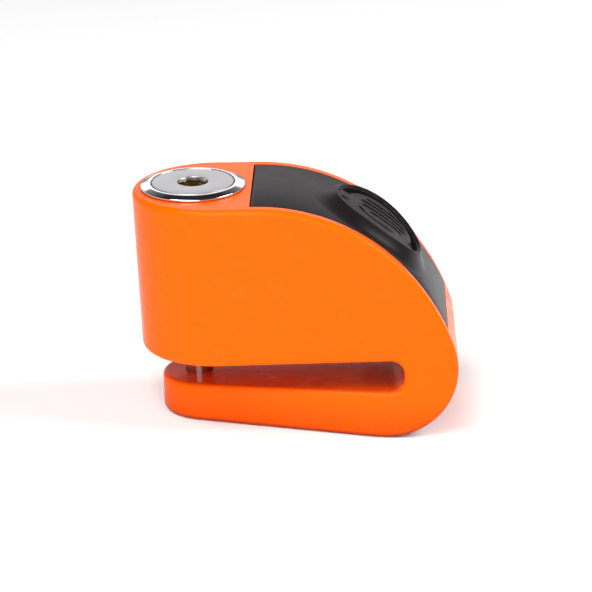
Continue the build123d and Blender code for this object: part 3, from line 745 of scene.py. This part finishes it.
class LOCK_OT_sounder_dome(bpy.types.Operator):
    """Model the sounder's dome with its rim, moat, island and sound slots"""
    bl_idname = "lock.sounder_dome"
    bl_label = "Sounder dome"

    def execute(self, context):
        size = context.scene.lock_dome
        rim, base, height = size.rim / MM, size.base / MM, size.height / MM
        drop = size.drop / MM
        dome = self.raise_dome(rim, base, height, drop)
        self.squeeze(dome, rim, base)
        tools = [self.arc_tool("moat", *MOAT, size.moat_floor / MM)]
        tools.append(self.arc_tool("groove", *GROOVE, GROOVE_FLOOR))
        for y, low, high in SOUND_SLOTS:
            tools.append(self.slot_tool(y, low, high, size.slot / MM))
        tools.append(self.pocket_tool())
        cut_away(dome, join(tools, "grille_tools"))
        bore = self.bore_tool()
        cut_away(dome, bore)
        tidy_mesh(dome, 0.01)
        use_modifier(dome, "BEVEL", width=0.14 * MM, segments=3, limit_method="ANGLE",
                     angle_limit=radians(38), use_clamp_overlap=True)
        slice_along(dome, -17, 17, SLICE)
        for vertex in dome.data.vertices:
            vertex.co.x += DOME_S * MM
        lay_on_crown(dome)
        tidy_mesh(dome)
        smooth(dome, 30)
        dress(dome, "casing", finish("black_plastic"))
        return {"FINISHED"}

    def raise_dome(self, rim, base, height, drop):
        """A disc raised ring by ring: a hollow flank, a thin flat rim and the sunk grille plate."""
        deselect()
        bpy.ops.mesh.primitive_cylinder_add(vertices=144, radius=base * MM, depth=0.6 * MM,
                                            location=(0, 0, -0.28 * MM))
        dome = newest("sounder_dome")
        apply_place(dome)
        edit(dome)
        choose(dome, "FACE", lambda face: face.normal.z > 0.9)
        rings = 14
        level = 0.0
        for i in range(1, rings + 1):
            here = height * (i / rings) ** 2.1
            bpy.ops.mesh.inset(thickness=(base - rim) / rings * MM, depth=(here - level) * MM,
                               use_even_offset=True)
            level = here
        bpy.ops.mesh.inset(thickness=0.3 * MM, depth=0.0)
        bpy.ops.mesh.inset(thickness=0.22 * MM, depth=-drop * MM)
        done()
        return dome

    def squeeze(self, dome, rim, base):
        """Draw the flank in to the strip's sides, and to the cross crease at its lower end."""
        side, foot = 14.35, 16.3
        for vertex in dome.data.vertices:
            flat = vertex.co.xy / MM
            reach = flat.length
            if reach <= rim + 0.01:
                continue
            along, across = flat / reach
            limit = min(base, side / max(abs(across), 1e-6))
            if along > 0:
                limit = min(limit, foot / along)
            share = (reach - rim) / (base - rim)
            vertex.co.xy = (flat / reach) * (rim + (limit - rim) * share) * MM
        dome.data.update()

    def arc_tool(self, name, inner, outer, start, end, floor):
        """A cutter for part of a ring: an upright rectangle spun about the dome's axis."""
        deselect()
        middle, top = (inner + outer) / 2, 4.0
        bpy.ops.mesh.primitive_plane_add(size=1 * MM, rotation=(radians(90), 0, 0),
                                         location=(middle * MM, 0, (floor + top) / 2 * MM))
        tool = newest(name)
        tool.scale = (outer - inner, top - floor, 1)
        apply_place(tool)
        edit(tool)
        bpy.ops.mesh.select_all(action="SELECT")
        turn = Matrix.Rotation(radians(start), 4, "Z")
        shape = bmesh.from_edit_mesh(tool.data)
        bmesh.ops.transform(shape, matrix=turn, verts=shape.verts)
        bmesh.update_edit_mesh(tool.data)
        bpy.ops.mesh.spin(steps=max(12, int((end - start) / 3)), angle=-radians(end - start),
                          center=(0, 0, 0), axis=(0, 0, 1))
        done()
        tidy_mesh(tool)
        return tool

    def slot_tool(self, y, low, high, width):
        """A cutter with round ends for one sound slot."""
        deselect()
        bpy.ops.mesh.primitive_cube_add(size=1 * MM, location=((low + high) / 2 * MM, y * MM, 0.5 * MM),
                                        scale=(high - low, width, 8))
        tool = newest("slot")
        apply_place(tool)
        edit(tool)
        choose(tool, "EDGE", upright)
        bpy.ops.mesh.bevel(offset=width * 0.49 * MM, segments=7, affect="EDGES")
        done()
        return tool

    def pocket_tool(self):
        """A cutter for the small three-cornered pocket beside the rim."""
        deselect()
        bpy.ops.mesh.primitive_cylinder_add(vertices=3, radius=1.35 * MM, depth=4 * MM,
                                            location=(-9.1 * MM, -1.1 * MM, 3.0 * MM))
        tool = newest("pocket")
        tool.scale = (1.0, 0.8, 1)
        apply_place(tool)
        edit(tool)
        choose(tool, "EDGE", upright)
        bpy.ops.mesh.bevel(offset=0.3 * MM, segments=3, affect="EDGES")
        done()
        return tool

    def bore_tool(self):
        """A cutter for the room under the grille."""
        deselect()
        bpy.ops.mesh.primitive_cylinder_add(vertices=96, radius=GRILLE_BORE_R * MM, depth=2 * MM,
                                            location=(0, 0, -0.92 * MM))
        tool = newest("bore")
        edit(tool)
        choose(tool, "FACE", lambda face: face.normal.z > 0.9)
        bpy.ops.mesh.bevel(offset=0.1 * MM, segments=2, affect="EDGES")
        done()
        apply_place(tool)
        return tool


class LOCK_OT_bezel(bpy.types.Operator):
    """Model the chrome ring round the cylinder: sleeve, rolled foot, steep flank and flat lip"""
    bl_idname = "lock.bezel"
    bl_label = "Chrome bezel"

    def execute(self, context):
        ring = spun("chrome_bezel", rounded(BEZEL_PROFILE, 0.2))
        stand_on_axis(ring)
        smooth(ring, 40)
        dress(ring, "casing", finish("chrome"))
        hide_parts("bezel_ring")
        return {"FINISHED"}


class LOCK_OT_face_cap(bpy.types.Operator):
    """Model the turned steel cap on the cylinder, with the lugged key opening"""
    bl_idname = "lock.face_cap"
    bl_label = "Face cap"

    def execute(self, context):
        cap = spun("turned_cap", rounded(CAP_PROFILE, 0.12, 4))
        lugs = [self.lug(turn) for turn in LUG_TURNS]
        cap = join([cap] + lugs, "turned_cap")
        stand_on_axis(cap)
        smooth(cap, 35)
        dress(cap, "cylinder", finish("satin_steel"))
        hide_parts("face_cap")
        return {"FINISHED"}

    def lug(self, turn):
        """One stop lug that reaches into the key opening."""
        deselect()
        bpy.ops.mesh.primitive_cube_add(size=1 * MM, location=(3.3 * MM, 0, 0.56 * MM),
                                        scale=(0.8, 1.1, 0.66))
        piece = newest("lug")
        apply_place(piece)
        edit(piece)
        bpy.ops.mesh.select_all(action="SELECT")
        bpy.ops.mesh.bevel(offset=0.12 * MM, segments=3, affect="EDGES")
        done()
        piece.rotation_euler = (0, 0, radians(turn))
        apply_place(piece)
        return piece


class LOCK_OT_stage(bpy.types.Operator):
    """Set the pale floor, the soft light and the camera"""
    bl_idname = "lock.stage"
    bl_label = "Stage"

    def execute(self, context):
        size = context.scene.lock_stage
        deselect()
        bpy.ops.mesh.primitive_plane_add(size=size.floor_size)
        floor = newest("floor")
        material, tree, shader, vector = base_material("floor_paper", Roughness=0.9, Specular_IOR_Level=0.1)
        tones(tree, shader, vector, (0.93, 0.93, 0.93), (0.915, 0.915, 0.918), 3.0)
        floor.data.materials.append(material)
        world = bpy.data.worlds.new("surround")
        world.use_nodes = True
        self.paint_world(world.node_tree, size.world)
        context.scene.world = world
        for name, setting, place, target, sides in SOFT_BOXES:
            self.soft_box(name, place, target, sides, getattr(size, setting))
        self.camera(context)
        context.scene.view_settings.view_transform = "Standard"
        return {"FINISHED"}

    def paint_world(self, tree, strength):
        """A surround that is white low down and dark overhead."""
        place = tree.nodes.new("ShaderNodeTexCoord")
        parts = add(tree, "ShaderNodeSeparateXYZ", {"Vector": place.outputs["Generated"]})
        ramp = add(tree, "ShaderNodeMapRange", {"Value": parts.outputs["Z"], "From Min": 0.40,
                                                "From Max": 0.75, "To Min": 1.0, "To Max": 0.08})
        level = add(tree, "ShaderNodeMath", {0: ramp.outputs["Result"], 1: strength}, operation="MULTIPLY")
        tree.links.new(level.outputs[0], tree.nodes["Background"].inputs["Strength"])
        tree.nodes["Background"].inputs["Color"].default_value = (1, 1, 1, 1)

    def soft_box(self, name, place, target, sides, power):
        """One rectangular soft light, facing its target."""
        light = bpy.data.lights.new(name, "AREA")
        light.shape = "RECTANGLE"
        light.size, light.size_y = sides
        light.energy = power
        lamp = bpy.data.objects.new(name, light)
        bpy.context.scene.collection.objects.link(lamp)
        lamp.location = place
        lamp.rotation_euler = (Vector(target) - Vector(place)).to_track_quat("-Z", "Y").to_euler()

    def camera(self, context):
        """A long lens, a little above the lock and square to its flat side."""
        lens = bpy.data.cameras.new("camera")
        camera = bpy.data.objects.new("camera", lens)
        context.scene.collection.objects.link(camera)
        lens.lens = LENS
        lens.sensor_width = SENSOR
        right = Vector(CAMERA_RIGHT).normalized()
        back = Vector(CAMERA_BACK).normalized()
        up = back.cross(right).normalized()
        matrix = Matrix((up.cross(back), up, back)).transposed().to_4x4()
        matrix.translation = Vector(CAMERA_PLACE) * MM
        camera.matrix_world = matrix
        context.scene.camera = camera


class LOCK_PT_panel(bpy.types.Panel):
    """Every step of the lock's looks, in order"""
    bl_idname = "LOCK_PT_panel"
    bl_label = "Disc lock"
    bl_space_type = "VIEW_3D"
    bl_region_type = "UI"
    bl_category = "Disc lock"

    def draw(self, context):
        column = self.layout.column(align=True)
        for step in STEPS:
            column.operator(step.bl_idname)
        for settings in ("lock_finish", "lock_trim", "lock_dome", "lock_stage"):
            box = self.layout.box()
            group = getattr(context.scene, settings)
            for key in group.__annotations__:
                box.prop(group, key)


STEPS = (LOCK_OT_finishes, LOCK_OT_trim_strip, LOCK_OT_sounder_dome, LOCK_OT_bezel, LOCK_OT_face_cap,
         LOCK_OT_stage)
SETTINGS = {"lock_trim": TrimSettings, "lock_dome": DomeSettings, "lock_finish": FinishSettings,
            "lock_stage": StageSettings}


def register():
    """Register every class and the settings."""
    for settings in SETTINGS.values():
        bpy.utils.register_class(settings)
    for step in STEPS:
        bpy.utils.register_class(step)
    bpy.utils.register_class(LOCK_PT_panel)
    for key, settings in SETTINGS.items():
        setattr(bpy.types.Scene, key, bpy.props.PointerProperty(type=settings))


def unregister():
    """Take the classes and settings away again."""
    for key in SETTINGS:
        delattr(bpy.types.Scene, key)
    bpy.utils.unregister_class(LOCK_PT_panel)
    for step in reversed(STEPS):
        bpy.utils.unregister_class(step)
    for settings in reversed(list(SETTINGS.values())):
        bpy.utils.unregister_class(settings)


def main():
    """Run every step in order."""
    register()
    bpy.ops.lock.finishes()
    bpy.ops.lock.trim_strip()
    bpy.ops.lock.sounder_dome()
    bpy.ops.lock.bezel()
    bpy.ops.lock.face_cap()
    bpy.ops.lock.stage()


if __name__ == "__main__":
    main()
